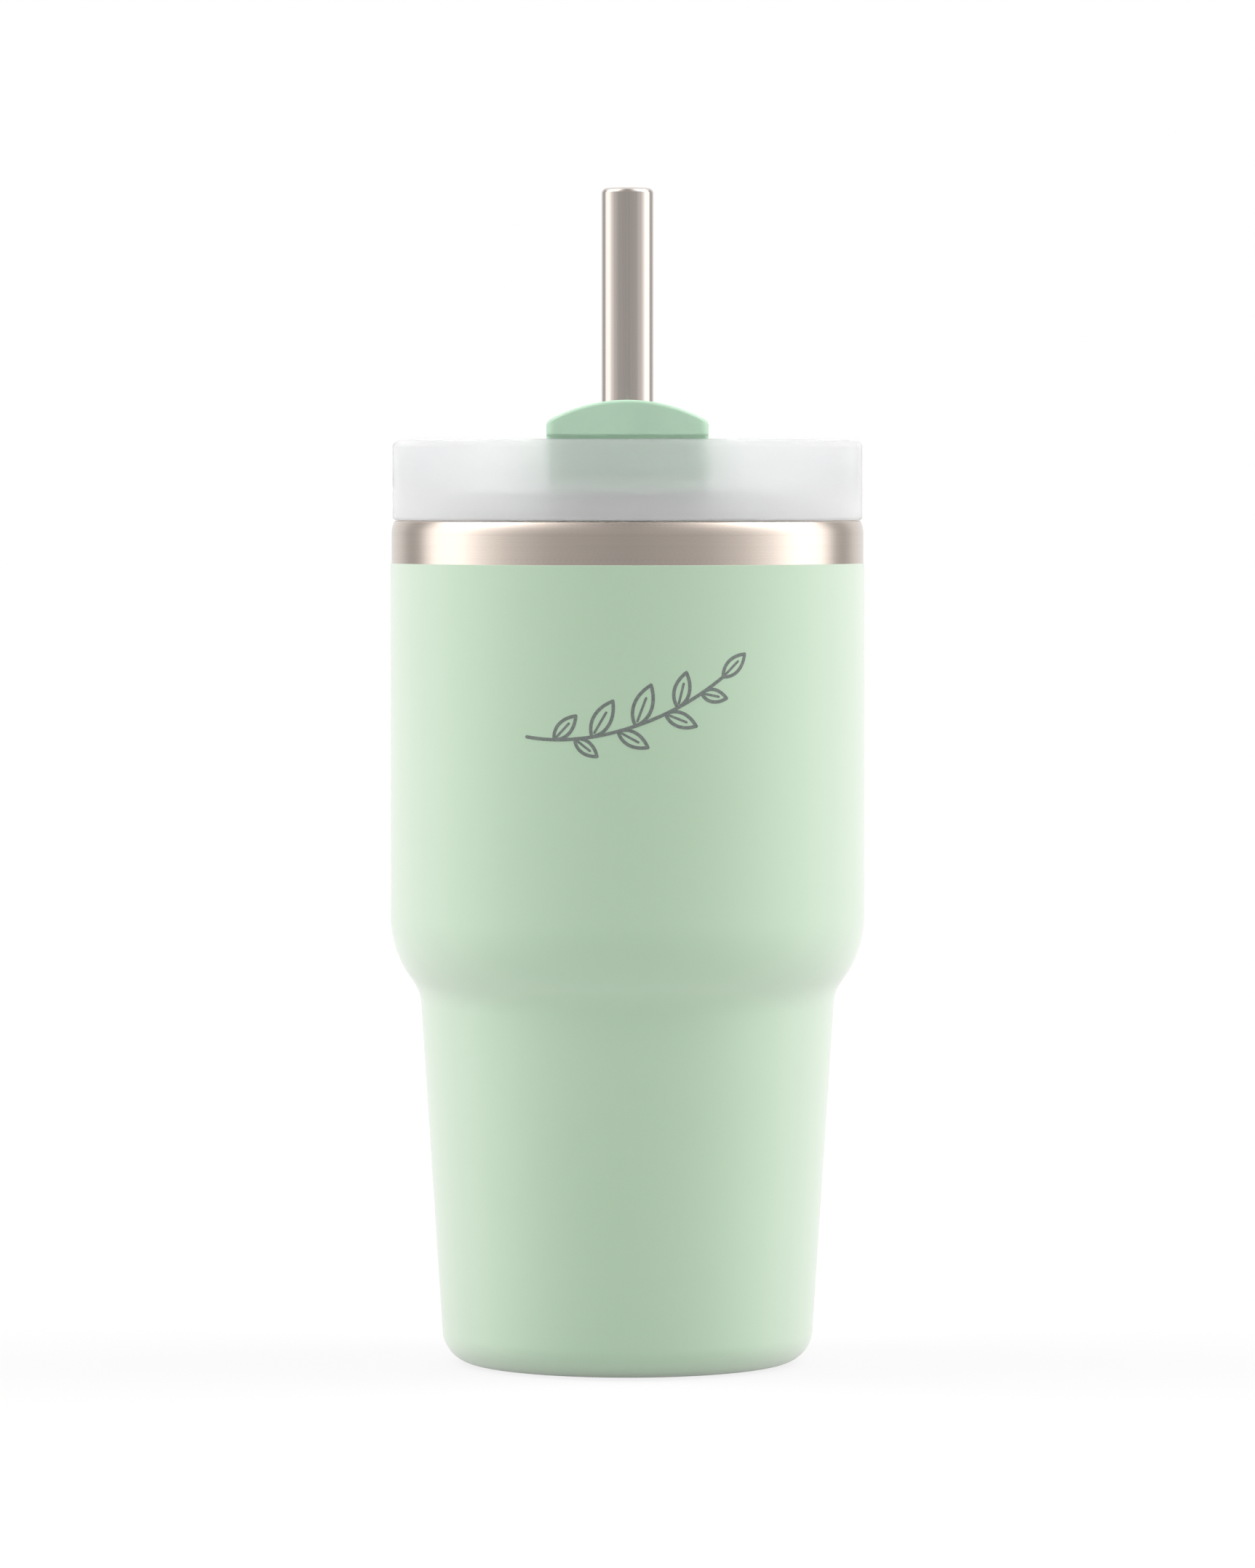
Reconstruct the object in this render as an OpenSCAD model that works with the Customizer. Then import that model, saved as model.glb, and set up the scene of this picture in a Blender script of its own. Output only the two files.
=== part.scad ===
// Insulated travel tumbler with a press-in frosted lid, a turning cover and a steel straw.
// Millimetres, +Z up, origin on the axis at the plane the tumbler stands on, front towards -Y.
// Round pieces are revolved outlines; an outline point is [radius, height].

/* [Vessel] */
// Outside diameter of the coated upper barrel
barrel_d = 89; // [87:0.5:91]
// Height of the steel lip above the base
vessel_h = 158.4; // [156:0.2:162]
// Height of the bare steel band under the lid
band_h = 8; // [6:0.5:9]
// Height at which the shoulder starts to curve in
shoulder_z = 84; // [80:0.5:88]
// Radius of the shoulder's outward curve
shoulder_r = 19.6; // [17:0.2:22]
// Steepest lean of the shoulder, in degrees from the vertical
shoulder_lean = 36.2; // [32:0.2:40]
// Radius of the inward curve under the shoulder
waist_r = 8.9; // [7:0.1:11]
// Lean of the tapered lower barrel, in degrees per side
taper = 3.65; // [3:0.05:4.2]
// Radius of the corner round the base
base_corner_r = 6.1; // [5.5:0.1:7]

/* [Walls] */
// Thickness of the powder coat
coat_t = 0.2; // [0.15:0.01:0.25]
// Thickness of the outer steel wall
shell_t = 0.5; // [0.4:0.05:0.6]
// Thickness of the inner steel wall
liner_t = 0.45; // [0.4:0.05:0.5]
// Width of the evacuated space between the two walls
vacuum_gap = 3.7; // [3.4:0.1:4]
// Height of the drinking space's floor above the base
floor_z = 8; // [7.5:0.1:9]

/* [Lid] */
// Outside diameter of the frosted rim
lid_d = 88.2; // [87.6:0.1:88.6]
// Height of the rim above its seat on the lip
rim_h = 15; // [14:0.1:17]
// Thickness of the rim wall
rim_t = 2.2; // [1.8:0.1:2.4]
// Depth of the plug below the seat
plug_h = 17; // [16:0.5:18]
// Width of the sip slot, across the ring it follows
sip_w = 8; // [6:0.5:8]
// Half of the angle that the sip slot's straight run covers
sip_half_angle = 17; // [12:1:18]

/* [Turning cover] */
// Width of the cover's arm and of its thumb tab
cover_w = 29.7; // [29:0.1:32]
// Height of the thumb tab's crown above the rim
tab_rise = 7.1; // [6:0.1:8]
// Radius of the thumb tab's arched top
tab_arch_r = 30; // [28:1:34]
// Radial thickness of the thumb tab at its top
tab_t = 6; // [5:0.5:7]

/* [Straw] */
// Outside diameter of the straw
straw_d = 9.7; // [9.5:0.1:9.9]
// Thickness of the straw's wall
straw_t = 0.4; // [0.3:0.05:0.5]
// Length of the straw
straw_l = 212.4; // [205:0.1:220]

/* [Hidden] */
$fn = 96;

// Clearances
skin_gap = 0.02;          // between a skin and what it lies on
small_gap = 0.05;         // between pieces that sit in each other
slip_gap = 0.1;           // between pieces that slide or turn

// Wall depths below the coated surface
shell_out = coat_t + skin_gap;
shell_in = shell_out + shell_t;
liner_out = shell_in + vacuum_gap + skin_gap;
liner_in = liner_out + liner_t;
barrel_r = barrel_d / 2;
mouth_r = barrel_r - liner_in;
coat_top = vessel_h - band_h;
shoulder_flat = 0.4;      // straight run between the shoulder's two curves

// Lip: the outer wall necks in and ends in a full round, with the liner flared up under it
neck_r = 6;
neck_lean = 22;
lip_round = 0.5;
lip_skirt = 1.8;          // depth of the lip's solid part
neck_c = [
    barrel_r - shell_out - neck_r,
    vessel_h - lip_round * (1 - sin(neck_lean)) - neck_r * sin(neck_lean)
];
lip_c = neck_c + (neck_r - lip_round) * [cos(neck_lean), sin(neck_lean)];
lip_in_r = lip_c.x - lip_round;
flare_lean = 45;
flare_r = 1.5;            // radius of the flare's two curves, on the drink side
flare_run = (lip_in_r - mouth_r - 2 * flare_r * (1 - cos(flare_lean))) / sin(flare_lean);
flare_top = vessel_h - 3.8;
flare_foot = flare_top - 2 * flare_r * sin(flare_lean) - flare_run * cos(flare_lean);

// Base
foot_r = 26.6;            // inside radius of the ring that the vessel stands on
foot_coat_end = 84;       // the coat runs this many degrees round the base corner
pan_t = 0.5;
pan_z = 1.9;              // underside of the pan's disc
port_r = 1;
dimple_h = 1.2;
dimple_r = 3.9;
base_cover_z = 0.9;
base_cover_t = 0.5;
liner_corner_r = 7;
liner_split_z = 18;
foil_t = 0.1;
foil_z = [24, 146];
getter_y = 13;
getter_r = 3;
getter_h = 1.9;
clip_w = 5;
clip_t = 0.3;

// Lid
seat_z = vessel_h + slip_gap;
rim_z = seat_z + rim_h;
lid_r = lid_d / 2;
rim_in_r = lid_r - rim_t;
deck_t = 2;
deck_z = seat_z + 4.5;
plug_r = mouth_r - 1;
plug_in_r = plug_r - 2.8;
groove_z = [seat_z - 15.3, seat_z - 9.3];
groove_depth = 1;
rim_round = 1.4;
rim_in_round = 0.7;
collar_r = 12.6;
collar_z = deck_z - 3.8;
sip_r = 30.5;             // radius of the ring that the sip slot follows
vent_r = 1.25;
vent_y = -20.5;
stop_r = 1.5;             // radius of the two posts that stop the cover
stop_h = 3.2;
stop_x = 34;

// Turning cover
hub_r = 10.2;
hub_bore_r = 8.05;
hub_z = deck_z - 6.8;
boss_r = 11.5;
plate_z = deck_z + 0.3;
plate_t = 3;
boss_z = plate_z + 8.5;
arm_reach = rim_in_r - 0.9;
tab_reach = arm_reach + 2;
tab_under_z = rim_z + 0.7;
tab_top_z = rim_z + tab_rise;
tab_foot = 5;             // how far the tab's back slopes out towards the hub
oring_r = 0.5;
oring_z = deck_z - 1.7;
ring_groove_z = [deck_z - 5.6, deck_z - 4];
ring_groove_r = 9.4;
pad_w = 28;
pad_y = [-36.5, -18];
pad_corner_r = 3;
pad_t = 1.7;
pad_proud = 0.25;         // how far the pad stands below the arm's underside

// Grommet and straw
straw_r = straw_d / 2;
lip_seal_r = straw_r + small_gap;
grommet_bore_r = 5.7;
grommet_r = hub_bore_r - small_gap;
grommet_flange_r = 9.8;
grommet_top_z = boss_z + 1.4;
grommet_foot_z = hub_z - 1.2;
straw_z = floor_z + 0.3;
straw_round = 1;            // radius of the curled-in tip

// Points of an arc round c, from angle a to angle b
function arc(c, r, a, b, n = 12) =
    [for (i = [0:n]) let (t = a + (b - a) * i / n) c + r * [cos(t), sin(t)]];
function reversed(list) = [for (i = [len(list) - 1:-1:0]) list[i]];
// Direction straight out of a wall that leans in by a degrees on its way down
function outward(a) = [cos(a), -sin(a)];
// Direction down along that wall
function downward(a) = [-sin(a), -cos(a)];

// Start of the lower taper at depth d inside the coated surface
shoulder_c = [barrel_r - shoulder_r, shoulder_z];
waist_c = shoulder_c + (shoulder_r + waist_r) * outward(shoulder_lean)
    + shoulder_flat * downward(shoulder_lean);
function taper_start(d) = waist_c - (waist_r + d) * outward(taper);

// The barrel's wall at depth d, from height top down to height bottom
function barrel_line(d, top, bottom) = concat(
    [[barrel_r - d, top]],
    arc(shoulder_c, shoulder_r - d, 0, -shoulder_lean, 20),
    arc(waist_c, waist_r + d, 180 - shoulder_lean, 180 - taper, 10),
    [[taper_start(d).x - (taper_start(d).y - bottom) * tan(taper), bottom]]
);

// Centre of the corner of radius r between the wall at depth d and a floor at height z
function corner_c(d, z, r) =
    let (
        run = (taper_start(d).y + r * sin(taper) - z - r) / cos(taper)
    )
    taper_start(d) + run * downward(taper) - r * outward(taper);
function corner_line(d, z, r, end = 90) = arc(corner_c(d, z, r), r, -taper, -end, 14);

// The liner's wall from its top edge under the lip down to the mouth; depth t moves it outwards
function flare_line(t) = concat(
    [[lip_in_r + t, vessel_h - lip_skirt - skin_gap]],
    arc([lip_in_r - flare_r, flare_top], flare_r + t, 0, -flare_lean, 8),
    arc([mouth_r + flare_r, flare_foot], flare_r - t, 180 - flare_lean, 180, 8)
);

module revolve(points) {
    rotate_extrude() polygon(points);
}

module ring(r_in, r_out, z_low, z_high) {
    revolve([[r_in, z_low], [r_out, z_low], [r_out, z_high], [r_in, z_high]]);
}

module powder_coat() {
    color([0.66, 0.78, 0.65])
        revolve(concat(
            barrel_line(0, coat_top, base_corner_r + 2),
            corner_line(0, 0, base_corner_r, foot_coat_end),
            reversed(corner_line(coat_t, coat_t, base_corner_r - coat_t, foot_coat_end)),
            reversed(barrel_line(coat_t, coat_top, base_corner_r + 2))
        ));
}

module outer_shell() {
    corner = corner_c(0, 0, base_corner_r);
    color([0.72, 0.70, 0.68])
        revolve(concat(
            arc(lip_c, lip_round, 180, neck_lean, 8),
            arc(neck_c, neck_r, neck_lean, 0, 8),
            barrel_line(shell_out, shoulder_z + 10, base_corner_r + 2),
            corner_line(shell_out, shell_out, base_corner_r - shell_out, foot_coat_end),
            [[corner.x + 0.45, 0], [foot_r, 0], [foot_r, shell_in]],
            reversed(corner_line(shell_in, shell_in, base_corner_r - shell_in)),
            reversed(barrel_line(shell_in, shoulder_z + 10, base_corner_r + 2)),
            arc(neck_c, neck_r - shell_t, 0, 6, 3),
            [[lip_in_r + liner_t, vessel_h - lip_skirt], [lip_in_r, vessel_h - lip_skirt]]
        ));
}

module base_pan() {
    rim_r = foot_r - small_gap;
    top = pan_z + pan_t;
    color([0.62, 0.62, 0.62])
        revolve([
            [rim_r, slip_gap], [rim_r, top], [dimple_r + 0.3, top],
            [dimple_r - 0.9, top + dimple_h], [port_r, top + dimple_h],
            [port_r, pan_z + dimple_h], [dimple_r - 1.2, pan_z + dimple_h],
            [dimple_r, pan_z], [rim_r - pan_t, pan_z], [rim_r - pan_t, slip_gap]
        ]);
}

module base_cover() {
    r = foot_r - pan_t - 2 * small_gap - slip_gap;
    top = pan_z - small_gap;
    color([0.74, 0.73, 0.71])
        revolve([
            [0, base_cover_z], [r - 0.4, base_cover_z], [r, base_cover_z + 0.4], [r, top],
            [r - base_cover_t, top], [r - base_cover_t, base_cover_z + base_cover_t],
            [0, base_cover_z + base_cover_t]
        ]);
}

module port_seal() {
    under = pan_z + dimple_h - skin_gap;
    color([0.55, 0.56, 0.58])
        revolve(concat(
            [[0, pan_z + pan_t + dimple_h], [port_r - skin_gap, pan_z + pan_t + dimple_h],
             [port_r - skin_gap, under]],
            [for (a = [0:15:90]) [2.2 * cos(a), under - 0.8 * sin(a)]]
        ));
}

module getter() {
    color([0.35, 0.35, 0.36])
        translate([0, getter_y, pan_z + pan_t + small_gap])
            cylinder(r = getter_r, h = getter_h);
}

// A strap over the getter with a foot on each side
module getter_clip() {
    z = pan_z + pan_t + skin_gap;
    reach = getter_r + 0.2;
    top = clip_t + getter_h + 0.1;
    color([0.7, 0.7, 0.72])
        translate([0, getter_y + clip_w / 2, z])
            rotate([90, 0, 0])
                linear_extrude(clip_w)
                    difference() {
                        union() {
                            translate([-reach - 4, 0]) square([2 * reach + 8, clip_t]);
                            translate([-reach - clip_t, 0])
                                square([2 * (reach + clip_t), top + clip_t]);
                        }
                        translate([-reach, -clip_t]) square([2 * reach, top + clip_t]);
                    }
}

module copper_foil() {
    inner = liner_out - small_gap;
    color([0.78, 0.48, 0.32])
        revolve(concat(
            barrel_line(inner - foil_t, foil_z[1], foil_z[0]),
            reversed(barrel_line(inner, foil_z[1], foil_z[0]))
        ));
}

module liner_wall() {
    color([0.76, 0.75, 0.73])
        revolve(concat(
            flare_line(0),
            barrel_line(liner_in, flare_foot - 1, liner_split_z),
            reversed(barrel_line(liner_out, flare_foot - 1, liner_split_z)),
            reversed(flare_line(liner_t))
        ));
}

module liner_bottom() {
    top = liner_split_z - skin_gap;
    function edge(d) =
        [[taper_start(d).x - (taper_start(d).y - top) * tan(taper), top]];
    color([0.76, 0.75, 0.73])
        revolve(concat(
            edge(liner_in),
            corner_line(liner_in, floor_z, liner_corner_r),
            [[0, floor_z], [0, floor_z - liner_t]],
            reversed(corner_line(liner_out, floor_z - liner_t, liner_corner_r + liner_t)),
            edge(liner_out)
        ));
}

// Plan of a slot along a ring of radius r at the front, w wide, with round ends
function slot_plan(r, w, half_angle) =
    let (
        left = -90 - half_angle,
        right = -90 + half_angle
    )
    concat(
        arc([0, 0], r + w / 2, left, right),
        arc(r * [cos(right), sin(right)], w / 2, right + 20, right + 160, 7),
        arc([0, 0], r - w / 2, right, left),
        arc(r * [cos(left), sin(left)], w / 2, left + 200, left + 340, 7)
    );

// Rim, deck and plug of the lid, as one outline
module lid_outline() {
    groove_r = plug_r - groove_depth;
    revolve(concat(
        [[lid_r - 0.4, seat_z], [lid_r, seat_z + 0.4]],
        arc([lid_r - rim_round, rim_z - rim_round], rim_round, 0, 90, 8),
        arc([rim_in_r + rim_in_round, rim_z - rim_in_round], rim_in_round, 90, 180, 6),
        arc([rim_in_r - 1, deck_z + 1], 1, 0, -90, 6),
        [[hub_r + slip_gap, deck_z], [hub_r + slip_gap, collar_z], [collar_r, collar_z],
         [collar_r, deck_z - deck_t]],
        arc([plug_in_r - 1, deck_z - deck_t - 1], 1, 90, 0, 6),
        [[plug_in_r, seat_z - plug_h], [plug_r - 0.4, seat_z - plug_h],
         [plug_r, seat_z - plug_h + 0.4], [plug_r, groove_z[0]], [groove_r, groove_z[0]],
         [groove_r, groove_z[1]], [plug_r, groove_z[1]], [plug_r, seat_z]]
    ));
}

module lid_shell() {
    color([0.86, 0.88, 0.89, 0.6])
        difference() {
            union() {
                lid_outline();
                for (s = [-1, 1])
                    translate([s * stop_x, cover_w / 2 + stop_r + 0.3, deck_z - slip_gap])
                        cylinder(r = stop_r, h = stop_h);
            }
            translate([0, 0, deck_z - deck_t - 1])
                linear_extrude(deck_t + 2) polygon(slot_plan(sip_r, sip_w, sip_half_angle));
            translate([0, vent_y, deck_z - deck_t - 1]) cylinder(r = vent_r, h = deck_t + 2);
        }
}

// Silicone ring with three thin fins that wipe the mouth
module lid_gasket() {
    root = plug_r - groove_depth + small_gap;
    body = plug_r + 0.1;
    fin = mouth_r - slip_gap;
    low = groove_z[0] + small_gap;
    color([0.9, 0.9, 0.88])
        revolve(concat(
            [[root, low], [body, low]],
            [for (i = [0:2]) each let (z = low + 0.8 + 1.7 * i)
                [[body, z], [fin, z + 0.35], [fin, z + 0.75], [body, z + 0.8]]],
            [[body, groove_z[1] - small_gap], [root, groove_z[1] - small_gap]]
        ));
}

// Plan of the cover: a round hub and an arm that reaches to radius reach
module cover_plan(reach) {
    intersection() {
        circle(r = reach);
        union() {
            circle(d = cover_w);
            translate([-cover_w / 2, -2 * reach]) square([cover_w, 2 * reach]);
        }
    }
}

// Everything below the tab's arched top
module under_arch() {
    translate([0, 0, tab_top_z - tab_arch_r])
        rotate([90, 0, 0])
            cylinder(r = tab_arch_r, h = 2 * tab_reach);
}

// Thumb tab: thick at its foot, thinner at its top, with a nose that passes over the rim
module thumb_tab() {
    intersection() {
        union() {
            translate([0, 0, plate_z])
                linear_extrude(tab_under_z - plate_z + 1) cover_plan(arm_reach);
            translate([0, 0, tab_under_z])
                linear_extrude(tab_top_z - tab_under_z) cover_plan(tab_reach);
        }
        under_arch();
        rotate([90, 0, 90])
            linear_extrude(2 * cover_w, center = true)
                polygon([
                    [-2 * tab_reach, plate_z], [-2 * tab_reach, tab_top_z + 1],
                    [-tab_reach + tab_t, tab_top_z + 1], [-tab_reach + tab_t, tab_top_z - 4],
                    [-tab_reach + tab_t + tab_foot, plate_z + plate_t],
                    [-tab_reach + tab_t + tab_foot, plate_z]
                ]);
    }
}

// Block with the pad's rounded plan, grown by a little for the pocket it sits in
module pad_block(grow, z, h) {
    r = pad_corner_r + grow;
    x = pad_w / 2 - pad_corner_r;
    y = [pad_y[0] + pad_corner_r, pad_y[1] - pad_corner_r];
    translate([0, 0, z])
        linear_extrude(h)
            polygon(concat(
                arc([x, y[1]], r, 0, 90, 6), arc([-x, y[1]], r, 90, 180, 6),
                arc([-x, y[0]], r, 180, 270, 6), arc([x, y[0]], r, 270, 360, 6)
            ));
}

module rotating_cover() {
    color([0.62, 0.75, 0.63])
        difference() {
            union() {
                translate([0, 0, plate_z]) linear_extrude(plate_t) cover_plan(arm_reach);
                translate([0, 0, plate_z]) cylinder(r = boss_r, h = boss_z - plate_z);
                translate([0, 0, hub_z]) cylinder(r = hub_r, h = plate_z - hub_z + 1);
                thumb_tab();
            }
            translate([0, 0, hub_z - 1]) cylinder(r = hub_bore_r, h = boss_z - hub_z + 2);
            ring(ring_groove_r, hub_r + 1, ring_groove_z[0], ring_groove_z[1]);
            ring(hub_r - 2 * oring_r, hub_r + 1, oring_z - oring_r - small_gap,
                 oring_z + oring_r + small_gap);
            pad_block(small_gap, plate_z - 1, pad_t - pad_proud + 1 + small_gap);
        }
}

module sip_pad() {
    color([0.85, 0.86, 0.84]) pad_block(0, plate_z - pad_proud, pad_t);
}

// Silicone spool in the hub, with three thin lips round the straw
module straw_grommet() {
    lip_t = 1.2;
    lip_z = [grommet_foot_z + 0.4, (grommet_foot_z + grommet_top_z) / 2, grommet_top_z - 1.8];
    color([0.80, 0.86, 0.80])
        revolve(concat(
            [[grommet_flange_r - 0.6, grommet_foot_z],
             [grommet_flange_r - 0.6, hub_z - small_gap], [grommet_r, hub_z - small_gap],
             [grommet_r, boss_z + small_gap], [grommet_flange_r, boss_z + small_gap]],
            arc([grommet_flange_r - 0.8, grommet_top_z - 0.8], 0.8, 0, 90, 6),
            [[grommet_bore_r, grommet_top_z]],
            [for (i = [2, 1, 0]) each
                [[grommet_bore_r, lip_z[i] + lip_t], [lip_seal_r, lip_z[i] + 0.8 * lip_t],
                 [lip_seal_r, lip_z[i] + 0.3 * lip_t], [grommet_bore_r, lip_z[i]]]],
            [[grommet_bore_r, grommet_foot_z]]
        ));
}

module hub_seal() {
    color([0.25, 0.26, 0.26])
        rotate_extrude()
            translate([hub_r - oring_r + skin_gap, oring_z]) circle(r = oring_r, $fn = 32);
}

// Split snap ring that holds the hub under the deck
module retainer_ring() {
    color([0.85, 0.87, 0.87])
        difference() {
            ring(ring_groove_r + small_gap, collar_r - 0.2,
                 ring_groove_z[0] + small_gap, ring_groove_z[1] - small_gap);
            translate([0, 0, ring_groove_z[0] - 1])
                rotate([0, 0, 90])
                    translate([ring_groove_r - 1, -1, 0]) cube([6, 2, 4]);
        }
}

module straw_tube() {
    top = straw_z + straw_l;
    in_r = straw_r - straw_t;
    color([0.75, 0.73, 0.70])
        revolve(concat(
            [[in_r, straw_z], [straw_r, straw_z]],
            arc([straw_r - straw_round, top - straw_round], straw_round, 0, 90, 8),
            reversed(arc([straw_r - straw_round, top - straw_round],
                         straw_round - straw_t, 0, 90, 6))
        ));
}

powder_coat();
outer_shell();
base_pan();
base_cover();
port_seal();
getter();
getter_clip();
copper_foil();
liner_wall();
liner_bottom();
lid_shell();
lid_gasket();
rotating_cover();
sip_pad();
straw_grommet();
hub_seal();
retainer_ring();
straw_tube();
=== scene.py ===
"""Looks of the insulated travel tumbler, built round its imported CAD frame.

Metres, +Z up, front towards -Y. The outlines of the round pieces are read from the CAD nodes,
their corners are softened, and they are revolved again in finer steps. The lid, the turning cover
and the retainer ring are built again from solids, and a plain mark is added on the front. Sizes
are written in mm and multiplied by MM where Blender takes them.
"""

import math

import bmesh
import bpy
import numpy as np
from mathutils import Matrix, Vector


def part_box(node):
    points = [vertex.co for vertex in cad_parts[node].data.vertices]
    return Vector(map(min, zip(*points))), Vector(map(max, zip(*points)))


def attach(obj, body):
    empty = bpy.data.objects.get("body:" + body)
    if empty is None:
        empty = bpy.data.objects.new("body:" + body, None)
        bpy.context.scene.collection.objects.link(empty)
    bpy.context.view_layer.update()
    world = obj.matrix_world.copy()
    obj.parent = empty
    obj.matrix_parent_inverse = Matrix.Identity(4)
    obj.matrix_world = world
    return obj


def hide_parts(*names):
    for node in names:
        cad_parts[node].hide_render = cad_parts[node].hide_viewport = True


MM = 0.001
SIDES = 256                 # steps round a revolved piece
SAME = 1e-6                 # metres; points closer than this are one point
ON_PLANE = 1e-7             # metres; points closer than this to a plane or an axis lie on it

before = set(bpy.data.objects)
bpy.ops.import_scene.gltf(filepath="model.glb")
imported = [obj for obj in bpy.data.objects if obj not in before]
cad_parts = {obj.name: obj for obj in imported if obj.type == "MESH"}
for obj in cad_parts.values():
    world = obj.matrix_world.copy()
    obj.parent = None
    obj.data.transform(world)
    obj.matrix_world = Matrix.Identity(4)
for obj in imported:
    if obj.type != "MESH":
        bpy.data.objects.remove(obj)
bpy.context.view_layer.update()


# ---------------------------------------------------------------------------- outlines
def outline(node):
    """(radius, height) points of a round CAD node's outline, walked along its seam at y = 0.
    An outline that reaches the axis starts and ends there; any other one is a closed loop."""
    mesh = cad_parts[node].data
    links = {}
    for edge in mesh.edges:
        ends = [mesh.vertices[i].co for i in edge.vertices]
        if any(abs(co.y) > ON_PLANE or co.x < -ON_PLANE for co in ends):
            continue
        a, b = ((round(co.x / SAME), round(co.z / SAME)) for co in ends)
        if a != b:
            links.setdefault(a, set()).add(b)
            links.setdefault(b, set()).add(a)
    loose = sorted(p for p, near in links.items() if len(near) == 1)
    walk = [loose[0] if loose else min(links)]
    while True:
        onward = sorted(p for p in links[walk[-1]] if p not in walk)
        if not onward:
            break
        walk.append(onward[0])
    if loose:
        first, last = ([(0, z)] if r > 0 else [] for r, z in (walk[0], walk[-1]))
        walk = first + walk + last
    points = [np.array(p) * SAME for p in walk]
    return simplified(points, not loose), not loose


def simplified(points, closed):
    """The outline without the points that lie on a straight line between their neighbours."""
    kept = []
    for i, p in enumerate(points):
        a, b = points[i - 1], points[(i + 1) % len(points)]
        at_end = not closed and i in (0, len(points) - 1)
        u, v = p - a, b - a
        off_line = abs(u[0] * v[1] - u[1] * v[0]) / max(np.linalg.norm(v), ON_PLANE)
        if at_end or off_line > 2 * ON_PLANE:
            kept.append(p)
    return kept


def softened(points, closed, radius, sharp=28, step=18):
    """The outline with each corner that turns by more than sharp degrees rounded to radius, or
    to what its two sides have room for, with a point for about every step degrees."""
    out = []
    for i, p in enumerate(points):
        to_a, to_b = points[i - 1] - p, points[(i + 1) % len(points)] - p
        len_a, len_b = np.linalg.norm(to_a), np.linalg.norm(to_b)
        u, v = to_a / len_a, to_b / len_b
        inner = math.acos(max(-1.0, min(1.0, float(u @ v))))
        turn = math.pi - inner
        at_end = not closed and i in (0, len(points) - 1)
        if at_end or turn < math.radians(sharp):
            out.append(p)
            continue
        setback = min(radius / math.tan(inner / 2), 0.45 * len_a, 0.45 * len_b)
        r = setback * math.tan(inner / 2)
        centre = p + (u + v) / np.linalg.norm(u + v) * r / math.sin(inner / 2)
        start, end = p + u * setback - centre, p + v * setback - centre
        for t in np.linspace(0, 1, max(2, math.ceil(math.degrees(turn) / step)) + 1):
            out.append(centre + (math.sin((1 - t) * turn) * start + math.sin(t * turn) * end)
                       / math.sin(turn))
    return out


def polar(r, angle):
    """The plan point at radius r and an angle in degrees."""
    return r * np.array([math.cos(math.radians(angle)), math.sin(math.radians(angle))])


def arc(centre, r, a, b, steps=8):
    """Points on a circle round centre from angle a to angle b, in degrees."""
    return [centre + polar(r, angle) for angle in np.linspace(a, b, steps + 1)]


def rounding(r, steps=3):
    """(inset, rise) pairs of a rounded edge of radius r, from a flat side to an upright one."""
    return [(r * (1 - math.sin(t)), r * (1 - math.cos(t)))
            for t in np.linspace(0, math.pi / 2, steps + 1)]


def rounded_plan(low, high, r, steps=8):
    """Counterclockwise plan of a rectangle between two corners, with its corners rounded."""
    x, y = (low[0] + r, high[0] - r), (low[1] + r, high[1] - r)
    corners = ((x[1], y[1], 0), (x[0], y[1], 90), (x[0], y[0], 180), (x[1], y[0], 270))
    return [p for cx, cy, turn in corners for p in arc((cx, cy), r, turn, turn + 90, steps)]


def in_metres(points):
    return [np.array(p, float) * MM for p in points]


def at_height(plan, z):
    """A ring in metres from a plan in mm."""
    return in_metres([(x, y, z) for x, y in plan])


# ---------------------------------------------------------------------------- meshes
def new_object(name, verts, faces, normals=None):
    mesh = bpy.data.meshes.new(name)
    mesh.from_pydata([tuple(v) for v in verts], [], faces)
    mesh.validate()
    mesh.shade_smooth()
    if normals is not None:
        mesh.normals_split_custom_set_from_vertices([tuple(n) for n in normals])
    obj = bpy.data.objects.new(name, mesh)
    bpy.context.scene.collection.objects.link(obj)
    return obj


def outline_normals(points, closed):
    """Outward normals at the points of a counterclockwise outline. The longer of the two runs
    that meet at a point has the greater weight, so that a flat side stays flat."""
    normals = []
    for i, p in enumerate(points):
        total = np.zeros(2)
        for a, b in ((i - 1, i), (i, i + 1)):
            if closed or (a >= 0 and b < len(points)):
                d = points[b % len(points)] - points[a]
                total += np.array([d[1], -d[0]]) * np.linalg.norm(d)
        if not closed and i in (0, len(points) - 1):
            total[0] = 0
        normals.append(total / max(np.linalg.norm(total), ON_PLANE ** 2))
    return normals


def revolved(name, points, closed, sides=SIDES, at=(0, 0), with_normals=True):
    """A closed solid of revolution round the vertical line through at."""
    area = sum(a[0] * b[1] - a[1] * b[0] for a, b in zip(points, points[1:] + points[:1]))
    if area < 0:
        points = points[::-1]
    verts, normals, rings = [], [], []
    for (r, z), (nr, nz) in zip(points, outline_normals(points, closed)):
        first = len(verts)
        steps = 1 if r < ON_PLANE else sides
        for t in np.linspace(0, 2 * math.pi, sides, endpoint=False)[:steps]:
            c, s = math.cos(t), math.sin(t)
            verts.append((at[0] + r * c, at[1] + r * s, z))
            normals.append((nr * c, nr * s, nz))
        rings.append([first + j % steps for j in range(sides)])
    faces = []
    for low, high in zip(rings, rings[1:] + rings[:1] if closed else rings[1:]):
        for j in range(sides):
            k = (j + 1) % sides
            faces.append(list(dict.fromkeys([low[j], low[k], high[k], high[j]])))
    return new_object(name, verts, faces, normals if with_normals else None)


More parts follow.
